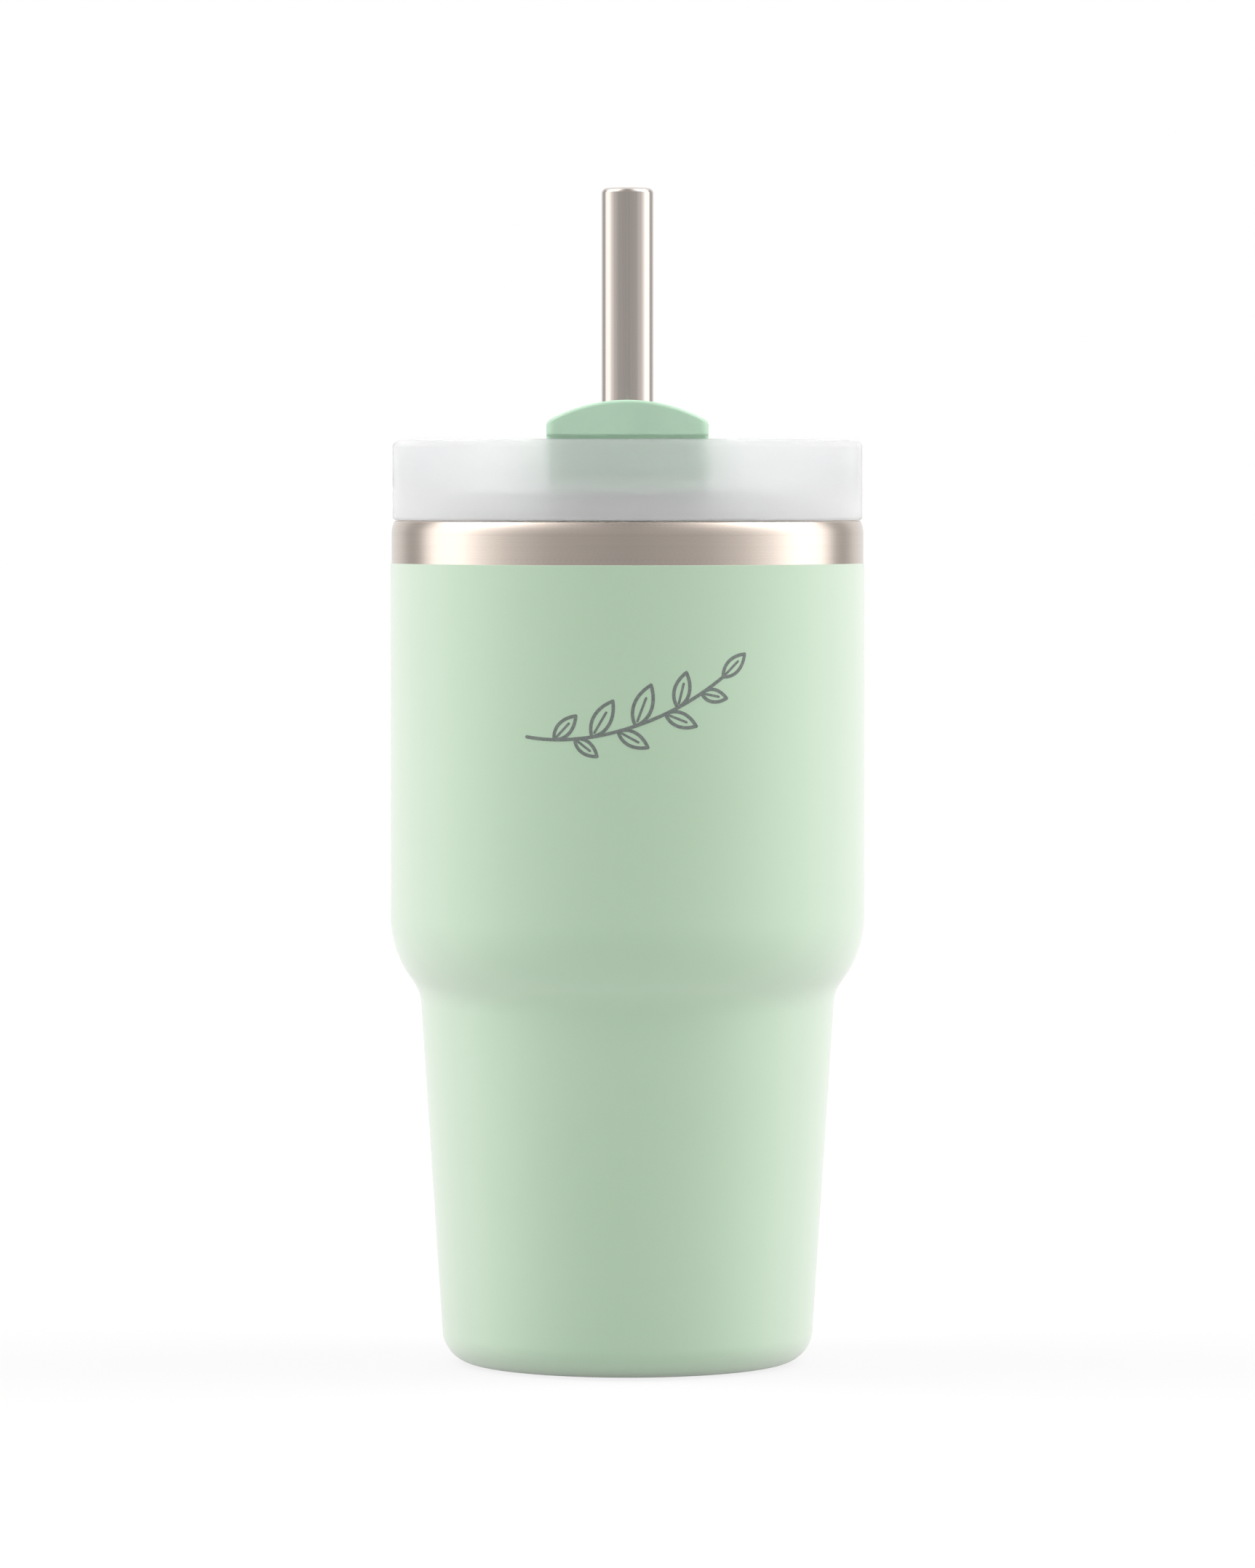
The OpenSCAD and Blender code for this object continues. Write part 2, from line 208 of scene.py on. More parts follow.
def merged(obj):
    """obj with points that fall together joined, and faces of no area dropped."""
    mesh = bmesh.new()
    mesh.from_mesh(obj.data)
    bmesh.ops.remove_doubles(mesh, verts=mesh.verts, dist=SAME)
    bmesh.ops.dissolve_degenerate(mesh, edges=mesh.edges, dist=SAME)
    mesh.to_mesh(obj.data)
    mesh.free()
    return obj


def loft(name, rings, cap=None):
    """A closed solid through rings with the same number of points. Both of its ends have the
    faces in cap, given as lists of points' places in a ring, or else one face each."""
    n = len(rings[0])
    cap = cap or [list(range(n))]
    verts = [v for ring in rings for v in ring]
    faces = [[k * n + i, k * n + (i + 1) % n, (k + 1) * n + (i + 1) % n, (k + 1) * n + i]
             for k in range(len(rings) - 1) for i in range(n)]
    last = (len(rings) - 1) * n
    faces += [face[::-1] for face in cap]
    faces += [[last + i for i in face] for face in cap]
    return merged(new_object(name, verts, faces))


def across(n):
    """Faces that close a ring of n points, each between a front point and the back point
    opposite; point 0 and point n / 2 are the ring's two ends."""
    half = n // 2
    middle = [[i, i + 1, n - i - 1, n - i] for i in range(1, half - 1)]
    return [[0, 1, n - 1]] + middle + [[half - 1, half, half + 1]]


def apply_modifiers(obj):
    graph = bpy.context.evaluated_depsgraph_get()
    mesh = bpy.data.meshes.new_from_object(obj.evaluated_get(graph))
    obj.modifiers.clear()
    obj.data = mesh
    return obj


def combined(obj, other, operation):
    """obj joined with, or cut by, other, which is used up."""
    modifier = obj.modifiers.new("combine", "BOOLEAN")
    modifier.operation = operation
    modifier.solver = "EXACT"
    modifier.object = other
    apply_modifiers(obj)
    bpy.data.objects.remove(other)
    return merged(obj)


def smoothed(obj, sharp=32):
    """Smooth shading that keeps flat faces flat and edges over sharp degrees crisp."""
    obj.data.shade_smooth()
    obj.data.set_sharp_from_angle(angle=math.radians(sharp))
    modifier = obj.modifiers.new("normals", "WEIGHTED_NORMAL")
    modifier.keep_sharp = True
    modifier.mode = "FACE_AREA_WITH_ANGLE"
    return apply_modifiers(obj)


# ---------------------------------------------------------------------------- sizes in mm
# As in the CAD source, and read from the frame where it has them
BARREL_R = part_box("powder_coat")[1].x / MM
RIM_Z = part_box("lid_shell")[1].z / MM
DECK_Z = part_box("sip_pad")[0].z / MM - 0.05     # the lid's deck, just under the pad
DECK_T = 2.0                                    # thickness of the deck
SLOT = {"r": 30.5, "half_w": 4.0, "half_angle": 17}
VENT = {"r": 1.25, "y": -20.5}
POST = {"r": 1.5, "x": 34.0, "h": 3.1}

# The turning cover: an arm from the hub to the rim, and a thumb tab that stands on its end
HALF_W = 14.85                                  # half of the arm's and the tab's width
ARM_R, ARM_CORNER = 41.0, 1.5                   # the arm's end, inside the rim
PLATE_Z, PLATE_TOP = DECK_Z + 0.3, DECK_Z + 3.3
NOSE_R, NOSE_CORNER = 43.0, 2.2                 # the tab's front, over the rim
UNDER_Z = RIM_Z + 0.7                           # underside of the tab's nose
TOP_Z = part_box("rotating_cover")[1].z / MM      # crown of the tab's arched top
ARCH_R = 30.0
BACK_Y, BACK_CORNER = -37.0, 1.0                # back of the tab at its top
BEND_Z, BACK_SLOPE = 176.6, 5 / 10.3            # below this height the tab's back slopes away
FOOT_H, FOOT_OUT = 1.12, 1.24                   # rounded foot of the tab's back, on the plate


# ---------------------------------------------------------------------------- materials
def add_node(tree, kind, *inputs, **settings):
    """A new node. Each input is a value, a socket to link, or None to leave it as it is."""
    made = tree.nodes.new(kind)
    for key, value in settings.items():
        setattr(made, key, value)
    for key, value in enumerate(inputs):
        if isinstance(value, bpy.types.NodeSocket):
            tree.links.new(value, made.inputs[key])
        elif value is not None:
            made.inputs[key].default_value = value
    return made


class Material:
    """A Principled material and short ways to add nodes to it."""

    def __init__(self, name, **sockets):
        self.data = bpy.data.materials.new(name)
        self.data.use_nodes = True
        self.tree = self.data.node_tree
        self.shader = self.tree.nodes["Principled BSDF"]
        for key, value in sockets.items():
            self.shader.inputs[key.replace("_", " ")].default_value = value
        self.place = self.node("ShaderNodeTexCoord").outputs["Object"]

    def node(self, kind, *inputs, **settings):
        return add_node(self.tree, kind, *inputs, **settings)

    def link(self, output, name):
        self.tree.links.new(output, self.shader.inputs[name])

    def scaled(self, vector, *factors):
        return self.node("ShaderNodeMapping", vector, None, None, factors).outputs[0]

    def noise(self, scale, detail=2.0, roughness=0.5, vector=None):
        """Noise with about scale specks to the metre, a number or one for each axis."""
        factors = scale if isinstance(scale, tuple) else (scale, scale, scale)
        made = self.node("ShaderNodeTexNoise", self.scaled(vector or self.place, *factors))
        made.inputs["Scale"].default_value = 1
        made.inputs["Detail"].default_value = detail
        made.inputs["Roughness"].default_value = roughness
        return made.outputs[0]

    def height(self):
        return self.node("ShaderNodeSeparateXYZ", self.place).outputs[2]

    def rings(self, scale):
        """Noise that changes with the radius and the height only: grooves round the axis."""
        flat = self.scaled(self.place, 1, 1, 0)
        radius = self.node("ShaderNodeVectorMath", flat, operation="LENGTH").outputs["Value"]
        spot = self.node("ShaderNodeCombineXYZ", radius, self.height()).outputs[0]
        return self.noise(scale, 3, 0.6, spot)

    def ranged(self, value, low, high, start=0.3, end=0.7):
        """value from start..end stretched to low..high."""
        return self.node("ShaderNodeMapRange", value, start, end, low, high).outputs[0]

    def weighted(self, a, b, share):
        """a and b added, with the weights 1 - share and share."""
        parts = [self.node("ShaderNodeMath", value, weight, operation="MULTIPLY").outputs[0]
                 for value, weight in ((a, 1 - share), (b, share))]
        return self.node("ShaderNodeMath", *parts, operation="ADD").outputs[0]

    def coloured(self, value, low, high, start=0.3, end=0.7):
        """Base colour from low to high as value goes from start to end."""
        made = self.node("ShaderNodeMix", data_type="RGBA")
        self.tree.links.new(self.ranged(value, 0, 1, start, end), made.inputs["Factor"])
        # inputs 6 and 7 are the colours A and B
        made.inputs[6].default_value = (*low, 1)
        made.inputs[7].default_value = (*high, 1)
        self.link(made.outputs[2], "Base Color")

    def rough(self, value, low, high):
        self.link(self.ranged(value, low, high), "Roughness")

    def bump(self, height, distance):
        made = self.node("ShaderNodeBump")
        made.inputs["Strength"].default_value = 1.0
        made.inputs["Distance"].default_value = distance
        self.tree.links.new(height, made.inputs["Height"])
        self.link(made.outputs[0], "Normal")

    def grooved(self, turn):
        """Stretched highlights of grooves round the axis (turn 0.25) or along it (turn 0)."""
        tangent = self.node("ShaderNodeTangent", direction_type="RADIAL", axis="Z")
        self.link(tangent.outputs[0], "Tangent")
        self.shader.inputs["Anisotropic Rotation"].default_value = turn


def shade(colour, factor):
    return tuple(min(1, c * factor) for c in colour)


def powder_coat_material():
    m = Material("powder_coat_satin", IOR=1.5, Sheen_Weight=0.8, Sheen_Roughness=0.7,
                 Sheen_Tint=(1.0, 0.94, 0.97, 1.0))
    cloud, speck = m.noise(35, 3), m.noise(2600, 1)
    m.coloured(m.weighted(cloud, speck, 0.4), (0.380, 0.556, 0.376), (0.396, 0.569, 0.390))
    peel, grain = m.noise(1100), m.noise(5200, 1)
    m.rough(grain, 0.48, 0.58)
    m.bump(m.weighted(peel, grain, 0.26), 0.016 * MM)
    return m.data


def brushed_steel(name, colour, roughness, aniso, round_the_axis=True, streak=1.0):
    """Steel with fine grooves round the axis or along it; streak is how much they show."""
    m = Material(name, Metallic=1.0, Anisotropic=aniso)
    m.grooved(0.25 if round_the_axis else 0.0)
    if round_the_axis:
        lines, bands = m.rings(9000), m.rings(1500)
    else:
        lines, bands = m.noise((5000, 5000, 12), 3, 0.6), m.noise((1400, 1400, 4), 3, 0.6)
    m.coloured(m.weighted(lines, bands, 0.5), shade(colour, 1 - 0.10 * streak),
               shade(colour, 1 + 0.06 * streak), 0.35, 0.65)
    m.rough(lines, roughness * 0.94, roughness * 1.06)
    m.bump(lines, 0.0006 * MM * streak)
    return m.data


def frosted_material():
    """Frosted plastic, clearer from the deck up, where only the rim's own wall scatters."""
    m = Material("frosted_polypropylene", IOR=1.45, Subsurface_Weight=1.0,
                 Subsurface_Radius=(1.0, 1.0, 1.0), Subsurface_Scale=2 * MM)
    m.coloured(m.noise(60), (0.912, 0.914, 0.918), (0.936, 0.937, 0.939))
    clear = m.ranged(m.height(), 0.55, 0.8, (DECK_Z - 1.5) * MM, (DECK_Z + 4) * MM)
    m.link(clear, "Transmission Weight")
    grain = m.noise(3800)
    m.rough(grain, 0.9, 1.0)
    m.bump(grain, 0.008 * MM)
    return m.data


def moulded_plastic(name, colour, roughness=0.38):
    m = Material(name, IOR=1.47, Subsurface_Weight=0.2, Subsurface_Radius=(0.6, 1.0, 0.65),
                 Subsurface_Scale=1.2 * MM)
    m.coloured(m.noise(90, 3), shade(colour, 0.96), shade(colour, 1.04))
    grain = m.noise(4200)
    m.rough(grain, roughness * 0.88, roughness * 1.12)
    m.bump(grain, 0.006 * MM)
    return m.data


def silicone(name, colour, clear=0.0):
    m = Material(name, IOR=1.41, Transmission_Weight=clear, Sheen_Weight=0.15)
    m.coloured(m.noise(120), shade(colour, 0.95), colour)
    grain = m.noise(6000, 1)
    m.rough(grain, 0.36, 0.48)
    m.bump(grain, 0.005 * MM)
    return m.data


def copper_material():
    m = Material("copper_foil", Metallic=1.0)
    cloud = m.noise(70, 4)
    m.coloured(cloud, (0.72, 0.33, 0.20), (0.86, 0.46, 0.30))
    m.rough(cloud, 0.2, 0.36)
    crease = m.node("ShaderNodeTexVoronoi", m.scaled(m.place, 160, 160, 90), feature="F1")
    m.bump(crease.outputs[0], 0.05 * MM)
    return m.data


def polished_steel(name, colour):
    """Electropolished steel: mirror-like, with a faint pebbled ripple."""
    m = Material(name, Metallic=1.0)
    m.coloured(m.noise(50), shade(colour, 0.93), colour)
    ripple = m.noise(900)
    m.rough(ripple, 0.12, 0.2)
    m.bump(ripple, 0.004 * MM)
    return m.data


def speckled(name, low, high, scale, roughness, depth):
    """A dull granular surface, with grains about depth mm deep."""
    m = Material(name)
    grain = m.noise(scale, 4, 0.65)
    m.coloured(grain, low, high, 0.35, 0.65)
    m.rough(grain, roughness * 0.9, roughness * 1.1)
    m.bump(grain, depth * MM)
    return m.data


def glass_material():
    m = Material("port_glass", IOR=1.52)
    swirl = m.noise(1500)
    m.coloured(swirl, (0.16, 0.17, 0.18), (0.22, 0.23, 0.25))
    m.rough(swirl, 0.08, 0.16)
    return m.data


materials = {
    "powder_coat": powder_coat_material(),
    "outer_steel": brushed_steel("brushed_steel", (0.70, 0.61, 0.54), 0.27, 0.75, streak=0.35),
    "base_steel": brushed_steel("spun_steel", (0.60, 0.56, 0.52), 0.3, 0.6),
    "port_glass": glass_material(),
    "getter": speckled("getter_powder", (0.05, 0.05, 0.055), (0.12, 0.12, 0.13), 3000, 0.8, 0.03),
    "clip_steel": brushed_steel("clip_steel", (0.6, 0.6, 0.6), 0.3, 0.3),
    "copper": copper_material(),
    "liner_steel": polished_steel("electropolished_steel", (0.72, 0.70, 0.67)),
    "frosted_lid": frosted_material(),
    "clear_silicone": silicone("clear_silicone", (0.82, 0.83, 0.82), 0.5),
    "cover_green": moulded_plastic("cover_green", (0.432, 0.612, 0.465)),
    "pale_silicone": silicone("pale_silicone", (0.62, 0.80, 0.64)),
    "dark_rubber": speckled("dark_rubber", (0.02, 0.021, 0.021), (0.035, 0.036, 0.036), 4000, 0.6,
                            0.006),
    "ring_plastic": moulded_plastic("ring_plastic", (0.75, 0.78, 0.77), 0.42),
    "straw_steel": brushed_steel("drawn_steel", (0.63, 0.57, 0.525), 0.16, 0.3, False, 0.9),
}
etched = speckled("etched_mark", (0.13, 0.155, 0.14), (0.20, 0.23, 0.21), 2500, 0.62, 0.01)


# ---------------------------------------------------------------------------- round and kept pieces
def placed(obj, body, node, slot):
    """obj rides on body, stands for the CAD node, and takes the finish of the slot."""
    obj.data.materials.clear()
    obj.data.materials.append(materials[slot])
    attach(obj, body)
    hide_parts(node)


def round_piece(node, body, slot, corner):
    """The CAD node's own outline with its corners softened, revolved again."""
    points, closed = outline(node)
    skin = revolved(node + "_skin", softened(points, closed, corner * MM), closed)
    placed(skin, body, node, slot)


ROUND_PIECES = (
    # node, body, material slot, corner radius in mm
    ("powder_coat", "vessel", "powder_coat", 0.08),
    ("outer_shell", "vessel", "outer_steel", 0.15),
    ("base_pan", "vessel", "base_steel", 0.18),
    ("base_cover", "vessel", "base_steel", 0.4),
    ("port_seal", "vessel", "port_glass", 0.1),
    ("copper_foil", "vessel", "copper", 0.03),
    ("liner_wall", "vessel", "liner_steel", 0.12),
    ("liner_bottom", "vessel", "liner_steel", 0.12),
    ("lid_gasket", "lid", "clear_silicone", 0.12),
    ("straw_grommet", "cover", "pale_silicone", 0.15),
    ("hub_seal", "cover", "dark_rubber", 0.05),
    ("straw_tube", "straw", "straw_steel", 0.1),
)
for row in ROUND_PIECES:
    round_piece(*row)


def keep_node(name, slot, corner):
    """A CAD node whose shape is right: softened edges and a better material."""
    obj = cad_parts[name]
    obj.data.materials.clear()
    obj.data.materials.append(materials[slot])
    weld = obj.modifiers.new("weld", "WELD")
    weld.merge_threshold = SAME
    planar = obj.modifiers.new("planar", "DECIMATE")
    planar.decimate_type = "DISSOLVE"
    planar.angle_limit = math.radians(1)
    bevel = obj.modifiers.new("bevel", "BEVEL")
    bevel.width = corner * MM
    bevel.segments = 3
    bevel.limit_method = "ANGLE"
    bevel.angle_limit = math.radians(40)
    bevel.harden_normals = True


keep_node("getter", "getter", 0.2)
keep_node("getter_clip", "clip_steel", 0.06)
keep_node("sip_pad", "pale_silicone", 0.25)


# ---------------------------------------------------------------------------- turning cover
def front_path(r, w, corner):
    """The arm's front in plan, from left to right: a corner, an arc of radius r, a corner."""
    cx, cy = w - corner, -math.sqrt((r - corner) ** 2 - (w - corner) ** 2)
    turn = math.degrees(math.atan2(cy, cx))
    right = arc((cx, cy), corner, turn, 0, 7)
    middle = arc((0, 0), r, -180 - turn, turn, 40)[1:-1]
    left = [p * (-1, 1) for p in right[::-1]]
    return left + middle + right


def back_shift(z):
    """How far the tab's back lies behind BACK_Y at height z: a slope that starts softly under
    BEND_Z and ends in a rounded foot on the plate."""
    drop = BEND_Z - z
    slope = BACK_SLOPE * (drop + math.sqrt(drop * drop + 1.0)) / 2
    foot = min(1.0, max(0.0, 1 - (z - PLATE_TOP) / FOOT_H))
    return slope + FOOT_OUT * foot * foot


def arch(x):
    """Height of the tab's arched top at a distance x from its middle."""
    return TOP_Z - ARCH_R + math.sqrt(ARCH_R ** 2 - x * x)


def tab_ring(r, corner, level, inset=0.0):
    """A ring round the thumb tab, drawn in by inset. Its front has radius r and rounded corners,
    and level gives the height of the point at a distance x from the middle."""
    w, bend = HALF_W - inset, BACK_CORNER - inset
    front = front_path(r - inset, w, corner - inset)
    x, y = w - bend, BACK_Y - inset - bend
    right = arc((x, y), bend, 0, 90, 7)
    run = len(front) - 2 * len(right)
    back = right + [np.array([t, y + bend]) for t in np.linspace(x, -x, run + 2)[1:-1]]
    back += [p * (-1, 1) for p in right[::-1]]
    side = (front[0][1] + back[0][1] + back_shift(level(w))) / 2
    ring = [(x, y, level(x)) for x, y in [(-w, side)] + front + [(w, side)]]
    ring += [(x, y + back_shift(level(x)), level(x)) for x, y in back]
    return in_metres(ring)


def thumb_tab():
    """A leg that stands inside the rim, a nose that reaches over it, and an arched top."""
    cove, low_edge, top_edge = 0.3, 0.35, 0.7
    slant = 0.03            # so that no face between the cove and the nose is without area
    root = 0.15             # how far the leg's root is drawn in, inside the plate

    def level_ring(r, corner, z, inset=0.0):
        return tab_ring(r, corner, lambda x: z, inset)

    rings = [level_ring(ARM_R, ARM_CORNER, z, root) for z in (PLATE_Z + 1, PLATE_TOP - 0.6)]
    rings += [level_ring(ARM_R, ARM_CORNER, PLATE_TOP + rise)
              for rise in (-0.35, 0, 0.15, 0.35, 0.65)]
    rings += [level_ring(ARM_R, ARM_CORNER, z)
              for z in np.linspace(PLATE_TOP + FOOT_H, UNDER_Z - cove, 5)]
    rings += [level_ring(ARM_R + rise, ARM_CORNER, UNDER_Z - inset)
              for inset, rise in rounding(cove)[1:]]
    rings += [level_ring(NOSE_R - inset, NOSE_CORNER, UNDER_Z + slant + rise)
              for inset, rise in rounding(low_edge, 4)]
    nose_z = UNDER_Z + slant + low_edge
    rings += [tab_ring(NOSE_R, NOSE_CORNER,
                       lambda x, t=t: nose_z + t * (arch(x) - top_edge - nose_z))
              for t in (0.33, 0.67)]
    rings += [tab_ring(NOSE_R, NOSE_CORNER, lambda x, drop=drop: arch(x) - drop, inset)
              for drop, inset in rounding(top_edge, 5)]
    return loft("tab", rings, across(len(rings[0])))


def plate():
    """The arm and the disc round the hub, with rounded edges."""
    middle_y = -18          # a point halfway along each straight side

    def ring(inset, z):
        w = HALF_W - inset
        front = front_path(ARM_R - inset, w, ARM_CORNER - inset)
        back = arc((0, 0), w, 0, 180, len(front) - 1)
        return at_height([(-w, middle_y)] + front + [(w, middle_y)] + back, z)

    edge = rounding(0.5)
    rings = [ring(inset, PLATE_Z + rise) for inset, rise in edge]
    rings += [ring(inset, PLATE_TOP - rise) for inset, rise in edge[::-1]]
    return loft("rotating_cover_skin", rings, across(len(rings[0])))


def hub():
    """Boss, hub and bore, with a groove for the seal and one for the retainer ring. A collar
    inside the plate carries the fillet between the plate and the boss."""
    bore, r, boss_r, fillet = 8.05, 10.2, 11.5, 1.4
    foot, boss_z = DECK_Z - 6.8, PLATE_Z + 8.5
    collar_r = boss_r + fillet + 0.5

    def groove(floor_r, low, high):
        return [(r, low), (floor_r, low), (floor_r, high), (r, high)]

    points = [(bore, foot), (r, foot)]
    points += groove(9.4, DECK_Z - 5.6, DECK_Z - 4.0)       # retainer ring
    points += groove(9.2, DECK_Z - 2.25, DECK_Z - 1.15)     # seal
    points += [(r, PLATE_TOP - 2), (collar_r, PLATE_TOP - 0.6), (collar_r - 0.4, PLATE_TOP - 0.07)]
    points += arc((boss_r + fillet, PLATE_TOP + fillet), fillet, 270, 180, 7)[1:]
    points += [(boss_r, boss_z), (bore, boss_z)]
    points = softened(in_metres(points), True, 0.3 * MM, 40)
    return revolved("hub", points, True, 192, with_normals=False)


def pad_pocket():
    """The hollow under the arm that the pad is pushed into, with room all round."""
    room, corner = 0.05, 3.0
    low, high = ([c / MM for c in end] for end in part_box("sip_pad"))
    plan = rounded_plan((low[0] - room, low[1] - room), (high[0] + room, high[1] + room),
                        corner + room)
    return loft("pocket", [at_height(plan, z) for z in (DECK_Z - 0.5, high[2] + room)])


def turning_cover():
    obj = plate()
    hole_r = 9.6            # wider than the hub's bore and narrower than the hub
    low, high = DECK_Z - 1, DECK_Z + 4
    hole = in_metres([(0, low), (hole_r, low), (hole_r, high), (0, high)])
    combined(obj, revolved("hole", hole, False, 192, with_normals=False), "DIFFERENCE")
    combined(obj, thumb_tab(), "UNION")
    combined(obj, hub(), "UNION")
    combined(obj, pad_pocket(), "DIFFERENCE")
    placed(smoothed(obj), "cover", "rotating_cover", "cover_green")


turning_cover()


# ---------------------------------------------------------------------------- lid
def slot_ring(grow, z):
    """The sip slot's edge, moved outwards by grow, at height z."""
    r, half = SLOT["r"], SLOT["half_w"] + grow
    first, last = -90 - SLOT["half_angle"], -90 + SLOT["half_angle"]
    plan = arc((0, 0), r + half, first, last, 24)
    plan += arc(polar(r, last), half, last, last + 180, 12)[1:-1]
    plan += arc((0, 0), r - half, last, first, 24)
    plan += arc(polar(r, first), half, first + 180, first + 360, 12)[1:-1]
    return at_height(plan, z)


def slot(top, under):
    """Cutter for the sip slot, with both of the deck's edges rounded."""
    edge = 0.6
    rings = [slot_ring(edge, under - 1)]
    rings += [slot_ring(grow, under + rise) for grow, rise in rounding(edge)]
    rings += [slot_ring(grow, top - rise) for grow, rise in rounding(edge)[::-1]]
    rings += [slot_ring(edge, top + 1)]
    return loft("slot", rings)


def vent(top, under):
    """Cutter for the air vent, with a small chamfer at both ends."""
    r, edge = VENT["r"], 0.4
    points = [(0, under - 1), (r + edge, under - 1), (r + edge, under), (r, under + edge),
              (r, top - edge), (r + edge, top), (r + edge, top + 1), (0, top + 1)]
    return revolved("vent", in_metres(points), False, 48, (0, VENT["y"] * MM), False)


def stop_post(top, side):
    """A round post on the deck that the turned cover's side comes to rest at."""
    r, h, foot, edge = POST["r"], POST["h"], 0.5, 0.4
    points = [(0, top - foot), (r + foot, top - foot), (r + foot, top)]
    points += arc((r + foot, top + foot), foot, 270, 180, 5)[1:]
    points += arc((r - edge, top + h - edge), edge, 0, 90, 5) + [(0, top + h)]
    at = (side * POST["x"] * MM, (HALF_W + r + 0.3) * MM)
    return revolved("post", in_metres(points), False, 48, at, False)


def lid():
    points, closed = outline("lid_shell")
    points = softened(points, closed, 0.25 * MM)
    obj = revolved("lid_shell_skin", points, closed, with_normals=False)
    top, under = DECK_Z, DECK_Z - DECK_T
    combined(obj, slot(top, under), "DIFFERENCE")
    combined(obj, vent(top, under), "DIFFERENCE")
    for side in (-1, 1):
        combined(obj, stop_post(top, side), "UNION")
    placed(smoothed(obj), "lid", "lid_shell", "frosted_lid")


lid()


# ---------------------------------------------------------------------------- retainer ring
def retainer_ring():
    """A flat snap ring with a gap, each edge softened."""
    low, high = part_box("retainer_ring")
    r_in, gap = 9.45 * MM, 12.4         # inner radius, and the gap in degrees
    corners = ((r_in, low.z), (high.x, low.z), (high.x, high.z), (r_in, high.z))
    section = softened([np.array(p) for p in corners], True, 0.2 * MM)
    rings = [[(*polar(r, angle), z) for r, z in section[::-1]]
             for angle in np.linspace(90 + gap / 2, 450 - gap / 2, 121)]
    placed(smoothed(loft("retainer_ring_skin", rings)), "cover", "retainer_ring", "ring_plastic")


retainer_ring()


# ---------------------------------------------------------------------------- mark
LINE_W = 0.63               # width of the mark's lines


def ribbon(points, width=LINE_W, proud=0.03):
    """Rows of left, middle and right points along a line with round ends. The points lie on the
    unrolled barrel: along it and up, in mm. proud is how far the line stands out of the coat."""
    n, half = len(points), width / 2
    rows = []
    for i, p in enumerate(points):
        way = points[min(i + 1, n - 1)] - points[max(i - 1, 0)]
        left = np.array([-way[1], way[0]]) / np.linalg.norm(way)
        rows.append([p + left * half, p, p - left * half])
    ends = []
    for row, beyond in ((rows[0], points[0] - points[1]), (rows[-1], points[-1] - points[-2])):
        forward = beyond / np.linalg.norm(beyond)
        left = (row[0] - row[1]) / half
        cap = []
        for angle in (30, 60, 85):
            side, reach = polar(half, angle)
            middle = row[1] + forward * reach
            cap.append([middle + left * side, middle, middle - left * side])
        ends.append(cap)
    return ends[0][::-1] + rows + ends[1], proud


def mark_object(name, ribbons, sunk=0.12):
    """All lines of the mark as closed thin strips in one mesh, sunk into the coat by sunk mm
    and riding on the vessel."""
    verts, faces = [], []
    for rows, proud in ribbons:
        base, width = len(verts), len(rows[0])
        for height in (proud, -sunk):
            r = BARREL_R + height
            for along, z in (p for row in rows for p in row):
                angle = along / BARREL_R
                verts.append((r * MM * math.sin(angle), -r * MM * math.cos(angle), z * MM))

        def at(layer, i, j, rows=rows, width=width, base=base):
            return base + (layer * len(rows) + i) * width + j

        last = width - 1
        for i in range(len(rows) - 1):
            for j in range(last):
                faces.append([at(0, i, j), at(0, i, j + 1), at(0, i + 1, j + 1), at(0, i + 1, j)])
                faces.append([at(1, i, j), at(1, i + 1, j), at(1, i + 1, j + 1), at(1, i, j + 1)])
            faces.append([at(0, i, 0), at(0, i + 1, 0), at(1, i + 1, 0), at(1, i, 0)])
            faces.append([at(0, i, last), at(1, i, last), at(1, i + 1, last), at(0, i + 1, last)])
        end = len(rows) - 1
        for j in range(last):
            faces.append([at(0, 0, j), at(1, 0, j), at(1, 0, j + 1), at(0, 0, j + 1)])
            faces.append([at(0, end, j), at(0, end, j + 1), at(1, end, j + 1), at(1, end, j)])
    obj = new_object(name, verts, faces)
    obj.data.materials.append(etched)
    obj.data.set_sharp_from_angle(angle=math.radians(40))
    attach(obj, "vessel")


def bezier(a, b, c, d, steps):
    a, b, c, d = (np.array(p, float) for p in (a, b, c, d))
    return [a * (1 - t) ** 3 + 3 * b * t * (1 - t) ** 2 + 3 * c * t * t * (1 - t) + d * t ** 3
            for t in np.linspace(0, 1, steps + 1)]


def leaf(root, angle, length, plump):
    """Outline and midrib of a leaf that grows from root at an angle, in degrees."""
    way = polar(1, angle)
    side = np.array([-way[1], way[0]]) * plump
    tip = root + way * length
    near, far = root + way * length * 0.25, tip - way * length * 0.35
    rib = [root + way * length * t for t in np.linspace(0.12, 0.68, 6)]
    # each line stands a little further out than the one that it crosses
    return [ribbon(bezier(root, near + side, far + side, tip, 16)),
            ribbon(bezier(tip, far - side, near - side, root, 16), proud=0.034),
            ribbon(rib, width=0.45, proud=0.038)]


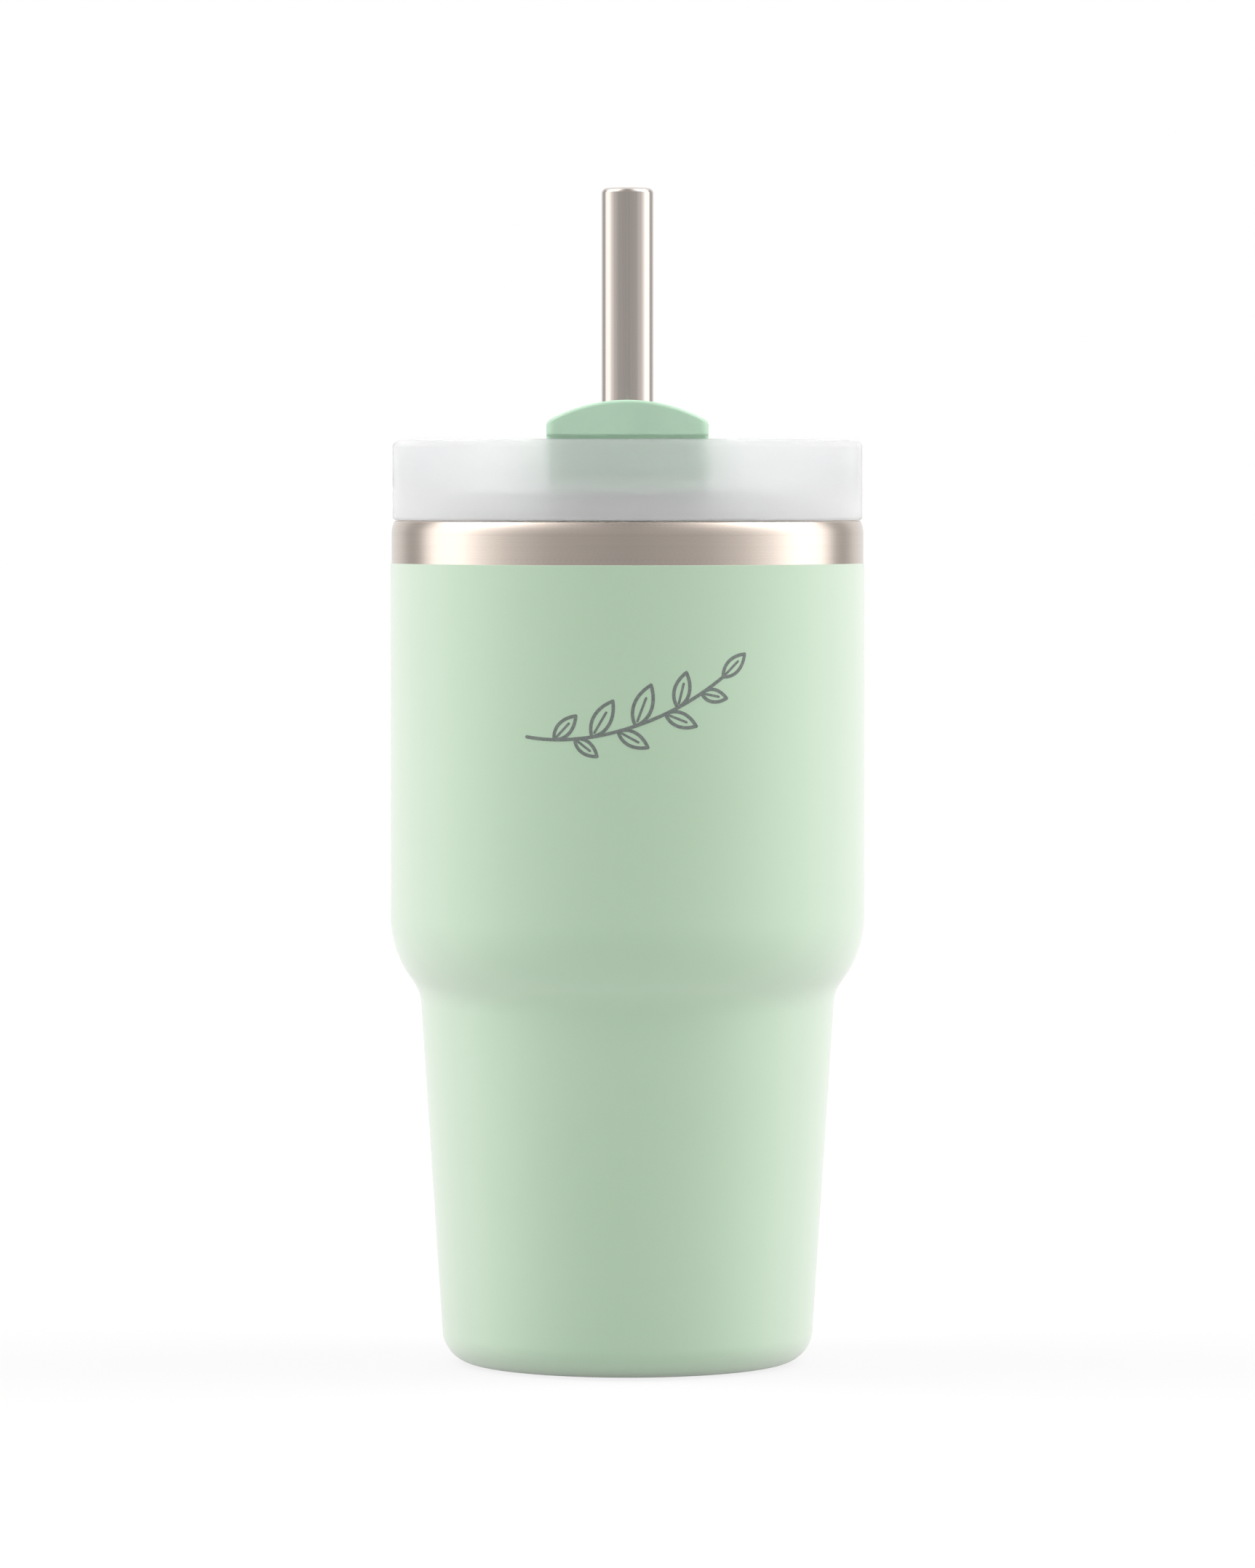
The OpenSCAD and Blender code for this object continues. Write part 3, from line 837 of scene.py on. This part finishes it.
def leaf_sprig():
    """A plain sprig: one curved stem with leaves on both sides and one at its tip."""
    steps = 48
    stem = bezier((-19.0, 119.0), (-7.0, 117.0), (7.0, 121.5), (18.0, 130.0), steps)
    lines = [ribbon(stem, proud=0.042)]
    leaves = (
        # place along the stem, angle from the stem, length, plumpness
        (0.14, 48, 6.0, 1.7), (0.24, -42, 5.2, 1.5), (0.34, 50, 7.6, 2.1), (0.46, -44, 6.2, 1.7),
        (0.55, 50, 8.0, 2.2), (0.68, -46, 6.2, 1.7), (0.75, 48, 6.6, 1.9), (0.88, -44, 5.0, 1.5),
        (1.0, 6, 6.0, 1.7),
    )
    for share, angle, length, plump in leaves:
        k = min(int(share * steps), steps - 1)
        way = stem[k + 1] - stem[k]
        stem_angle = math.degrees(math.atan2(way[1], way[0]))
        lines += leaf(stem[round(share * steps)], stem_angle + angle, length, plump)
    return lines


mark_object("leaf_mark", leaf_sprig())


# ---------------------------------------------------------------------------- camera and light
def studio_camera():
    """The camera that the photo's ellipses were fitted with: in front, level with the lid and
    looking slightly down."""
    data = bpy.data.cameras.new("camera")
    data.lens = 183.67
    data.sensor_width = 36
    data.clip_end = 50
    camera = bpy.data.objects.new("camera", data)
    camera.location = (0, -1.504, 0.1653)
    camera.rotation_euler = (math.radians(90 - 2.15), 0, 0)
    bpy.context.scene.collection.objects.link(camera)
    bpy.context.scene.camera = camera
    bpy.context.scene.view_settings.view_transform = "Standard"


WORLD_STOPS = (
    # degrees from the camera's side, brightness
    (0, 0.46), (38, 0.53), (58, 0.73), (74, 1.12), (90, 1.9), (108, 1.9),
    (123, 0.50), (133, 0.46), (146, 0.82), (180, 1.0),
)


def studio_world():
    """A soft white studio: pale in front, bright softboxes at both sides that are brighter still
    higher up, a darker gap behind each box, then the white background. It is a little brighter
    at the right, and darker below. The camera itself sees plain white."""
    world = bpy.data.worlds.new("studio")
    bpy.context.scene.world = world
    world.use_nodes = True
    tree = world.node_tree
    tree.nodes.clear()

    def add(kind, *inputs, **settings):
        return add_node(tree, kind, *inputs, **settings).outputs

    def maths(operation, *values):
        return add("ShaderNodeMath", *values, operation=operation)[0]

    x, y, z = add("ShaderNodeSeparateXYZ", add("ShaderNodeTexCoord")["Generated"])
    side = maths("ABSOLUTE", x)
    azimuth = maths("ARCTAN2", side, maths("MULTIPLY", y, -1.0))
    around = add_node(tree, "ShaderNodeValToRGB", maths("DIVIDE", azimuth, math.pi))
    elements = around.color_ramp.elements
    brightest = 4           # a ramp's colours stop at 1
    while len(elements) < len(WORLD_STOPS):
        elements.new(0.5)
    for element, (angle, bright) in zip(elements, WORLD_STOPS):
        element.position = angle / 180
        element.color = (bright / brightest, bright / brightest, bright / brightest, 1)
    above = add("ShaderNodeMapRange", z, 0.4, 0.75, 0.0, 5.8)[0]
    below = add("ShaderNodeMapRange", z, -0.6, -0.1, 0.4, 1.0)[0]
    right = add("ShaderNodeMapRange", x, -1.0, 1.0, 0.975 * brightest, 1.0375 * brightest)[0]
    gain = maths("ADD", maths("MULTIPLY", maths("POWER", side, 2.0), above), below)
    lit = add("ShaderNodeBackground", around.outputs[0], maths("MULTIPLY", gain, right))[0]
    seen = add("ShaderNodeBackground", (1, 1, 1, 1), 1.0)[0]
    camera_ray = add("ShaderNodeLightPath")["Is Camera Ray"]
    add("ShaderNodeOutputWorld", add("ShaderNodeMixShader", camera_ray, lit, seen)[0])


def studio_floor():
    """A plain floor just under the foot. It looks nearly white and takes a faint shadow, gives
    the object a greyer light, isn't mirrored in the steel, and is clear from below."""
    size, drop = 6.0, 0.1 * MM
    corners = [(x * size, y * size, -drop) for x, y in ((-1, -1), (1, -1), (1, 1), (-1, 1))]
    floor = new_object("studio_floor", corners, [[0, 1, 2, 3]])
    data = bpy.data.materials.new("studio_floor")
    data.use_nodes = True
    tree = data.node_tree
    tree.nodes.clear()

    def add(kind, *inputs):
        return add_node(tree, kind, *inputs).outputs

    def by_ray(bounced, seen):
        return add("ShaderNodeMapRange", camera_ray, 0.0, 1.0, bounced, seen)[0]

    camera_ray = add("ShaderNodeLightPath")["Is Camera Ray"]
    diffuse = add("ShaderNodeBsdfDiffuse", by_ray(0.5, 0.12))[0]
    glow = add("ShaderNodeEmission", None, by_ray(0.2, 0.81))[0]
    both = add("ShaderNodeAddShader", diffuse, glow)[0]
    from_below = add("ShaderNodeNewGeometry")["Backfacing"]
    clear = add("ShaderNodeBsdfTransparent")[0]
    add("ShaderNodeOutputMaterial", add("ShaderNodeMixShader", from_below, both, clear)[0])
    floor.data.materials.append(data)
    floor.visible_glossy = False


studio_camera()
studio_world()
studio_floor()
